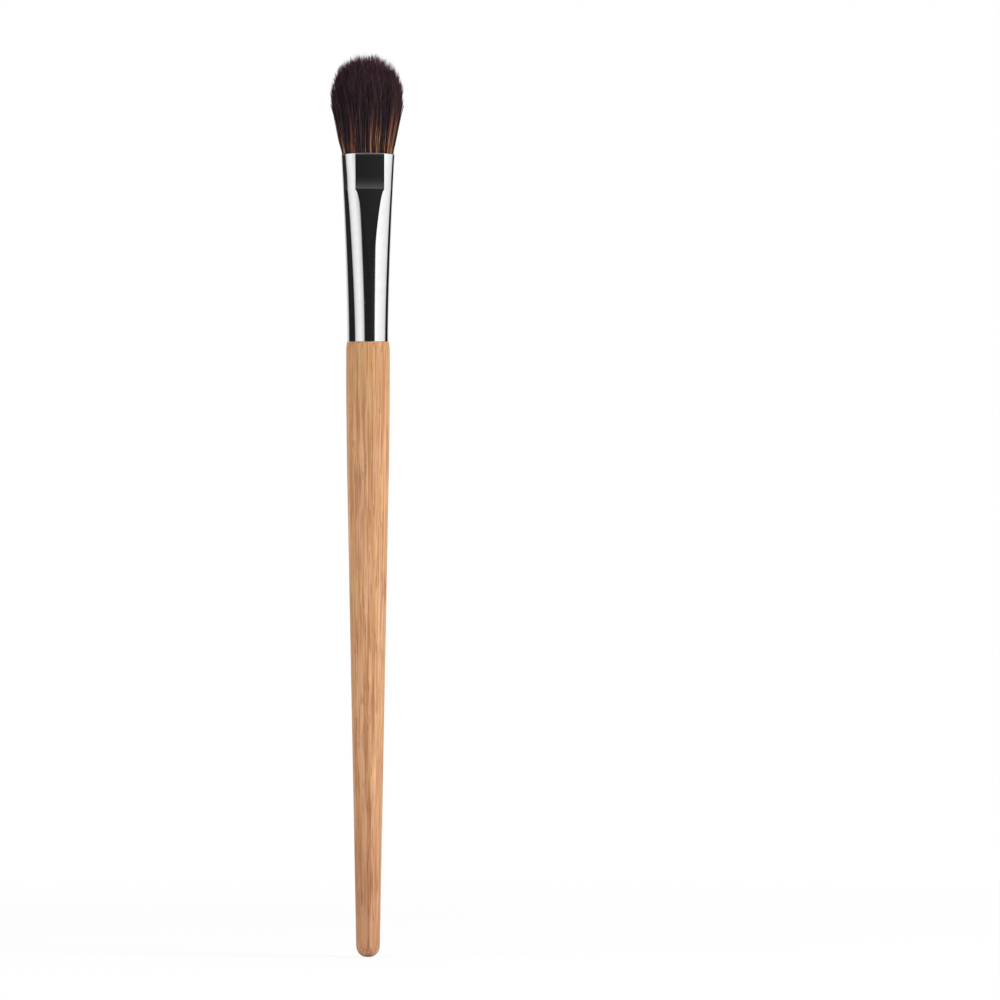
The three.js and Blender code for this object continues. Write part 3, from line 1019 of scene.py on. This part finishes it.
def photo_camera():
    """A level camera at the photograph's angle and scale."""
    out = Vector((math.sin(CAMERA_AZIMUTH), -math.cos(CAMERA_AZIMUTH), 0))
    right = Vector((math.cos(CAMERA_AZIMUTH), math.sin(CAMERA_AZIMUTH), 0))
    target = right * CAMERA_AIM_RIGHT + Vector((0, 0, CAMERA_AIM_HEIGHT))
    data = bpy.data.cameras.new("camera")
    data.sensor_width = SENSOR
    data.lens = SENSOR * CAMERA_DISTANCE / (MM_PER_PIXEL * FRAME_PIXELS * MM)
    camera = bpy.data.objects.new("camera", data)
    place_facing(camera, target, out, CAMERA_DISTANCE)
    bpy.context.scene.camera = camera


def studio_bands(tree, outward):
    """Brightness of the screens and gaps in a direction out from the brush."""
    turned_round = node(
        tree,
        "ShaderNodeMapping",
        {"Vector": outward, "Rotation": (0, 0, math.pi / 2 - CAMERA_AZIMUTH)},
    ).outputs["Vector"]
    round_share = node(tree, "ShaderNodeTexGradient", {"Vector": turned_round}, gradient_type="RADIAL")
    stops = [(0.5 + degrees / 360, (value,) * 3) for degrees, value in STUDIO_BANDS]
    return ramp(tree, round_share.outputs["Fac"], stops)


def studio_world():
    """The screens as light and in reflections, paler below and white overhead. The camera sees white."""
    world = bpy.data.worlds.new("studio")
    world.use_nodes = True
    tree = world.node_tree
    tree.nodes.clear()
    direction = node(tree, "ShaderNodeTexCoord", {}).outputs["Generated"]
    bands = studio_bands(tree, direction)
    height = node(tree, "ShaderNodeSeparateXYZ", {0: direction}).outputs["Z"]
    low = remap(tree, height, 0.05, -0.19, 0.0, 0.075, smooth=True)
    colour = mix(tree, low, bands, rgb((1, 1, 1)))
    overhead = remap(tree, height, 0.74, 0.88, 0.0, 1.0, smooth=True)
    colour = mix(tree, overhead, colour, rgb((1, 1, 1)))
    light = node(tree, "ShaderNodeBackground", {"Color": colour, "Strength": 1.0})
    white = node(tree, "ShaderNodeBackground", {"Color": rgb((1, 1, 1)), "Strength": 1.0})
    seen = node(tree, "ShaderNodeLightPath", {}).outputs["Is Camera Ray"]
    both = node(tree, "ShaderNodeMixShader", {0: seen, 1: light.outputs[0], 2: white.outputs[0]})
    output = node(tree, "ShaderNodeOutputWorld", {"Surface": both.outputs[0]})
    output.is_active_output = True
    bpy.context.scene.world = world


def floor_piece():
    """A white floor that keeps a soft shadow near the brush. The metal mirrors the screens in it."""
    points = []
    for turn in full_turn(FLOOR_COLUMNS):
        points.append((FLOOR_RADIUS * math.cos(turn), FLOOR_RADIUS * math.sin(turn), -FLOOR_DROP))
    floor = new_piece("floor", points, [tuple(range(FLOOR_COLUMNS))])
    material = bpy.data.materials.new("white_sweep")
    material.use_nodes = True
    tree = material.node_tree
    tree.nodes.clear()
    paths = node(tree, "ShaderNodeLightPath", {})
    mirrored = paths.outputs["Is Glossy Ray"]
    coordinates = node(tree, "ShaderNodeTexCoord", {}).outputs["Object"]
    out = node(tree, "ShaderNodeVectorMath", {0: coordinates}, operation="LENGTH").outputs["Value"]
    # Seen directly, it glows white except for a share near the brush
    glowing = remap(tree, out, 0.08, 0.45, 0.8, 1.0, smooth=True)
    share = maths(tree, "MULTIPLY", paths.outputs["Is Camera Ray"], glowing)
    share = maths(tree, "MAXIMUM", share, mirrored)
    matte = node(tree, "ShaderNodeBsdfDiffuse", {"Color": rgb((0.9, 0.9, 0.9))})
    # In the metal it shows the screens, paler near the brush
    paleness = remap(tree, out, 0.1, 0.6, 0.2, 0.075, smooth=True)
    screens = mix(tree, paleness, studio_bands(tree, coordinates), rgb((1, 1, 1)))
    colour = mix(tree, mirrored, rgb((1, 1, 1)), screens)
    glow = node(tree, "ShaderNodeEmission", {"Color": colour, "Strength": 1.0})
    both = node(tree, "ShaderNodeMixShader", {0: share, 1: matte.outputs[0], 2: glow.outputs[0]})
    node(tree, "ShaderNodeOutputMaterial", {"Surface": both.outputs[0]})
    dress(floor, material)


def soft_lamp(name, degrees, elevation, power):
    """An area lamp that many degrees to the right of the camera, aimed at the middle of the brush."""
    turn = CAMERA_AZIMUTH + math.radians(degrees)
    rise = math.radians(elevation)
    out = Vector((
        math.sin(turn) * math.cos(rise),
        -math.cos(turn) * math.cos(rise),
        math.sin(rise),
    ))
    data = bpy.data.lights.new(name, "AREA")
    data.shape = "DISK"
    data.size = LAMP_SIZE
    data.energy = power
    lamp = bpy.data.objects.new(name, data)
    lamp.visible_glossy = False
    place_facing(lamp, Vector((0, 0, LAMP_AIM_HEIGHT)), out, LAMP_DISTANCE)


photo_camera()
studio_world()
floor_piece()
soft_lamp("key_right", degrees=68, elevation=28, power=5.2)
soft_lamp("fill_left", degrees=-60, elevation=22, power=2.5)
bpy.context.scene.view_settings.view_transform = "Standard"
